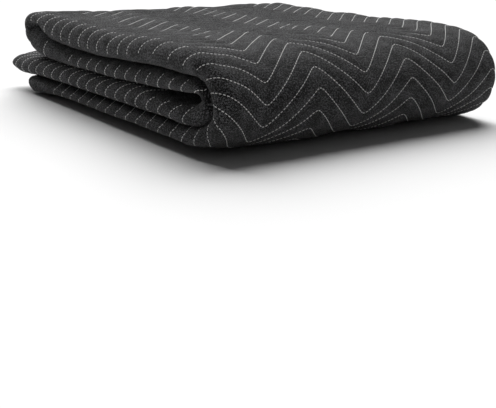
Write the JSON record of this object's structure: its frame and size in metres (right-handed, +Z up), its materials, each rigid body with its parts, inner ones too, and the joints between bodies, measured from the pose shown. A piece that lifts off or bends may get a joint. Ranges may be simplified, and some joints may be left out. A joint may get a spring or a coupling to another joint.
{
  "type": "folded moving pad",
  "caption": "Dark quilted moving pad with white zigzag stitching, folded flat into a thick rectangular bundle with a rounded front fold.",
  "frame": {"origin": "middle of the box's underside, where the folded pad rests", "axes": "+Z up through the layers, +Y from the rounded front fold to the free ends, +X along the front fold"},
  "size_m": [0.4574, 0.5376, 0.1195],
  "materials": {
    "quilted_cloth": "matte",
    "quilting_thread": "matte"
  },
  "bodies": {
    "root": {"pad": "quilted_cloth"}
  },
  "joints": []
}
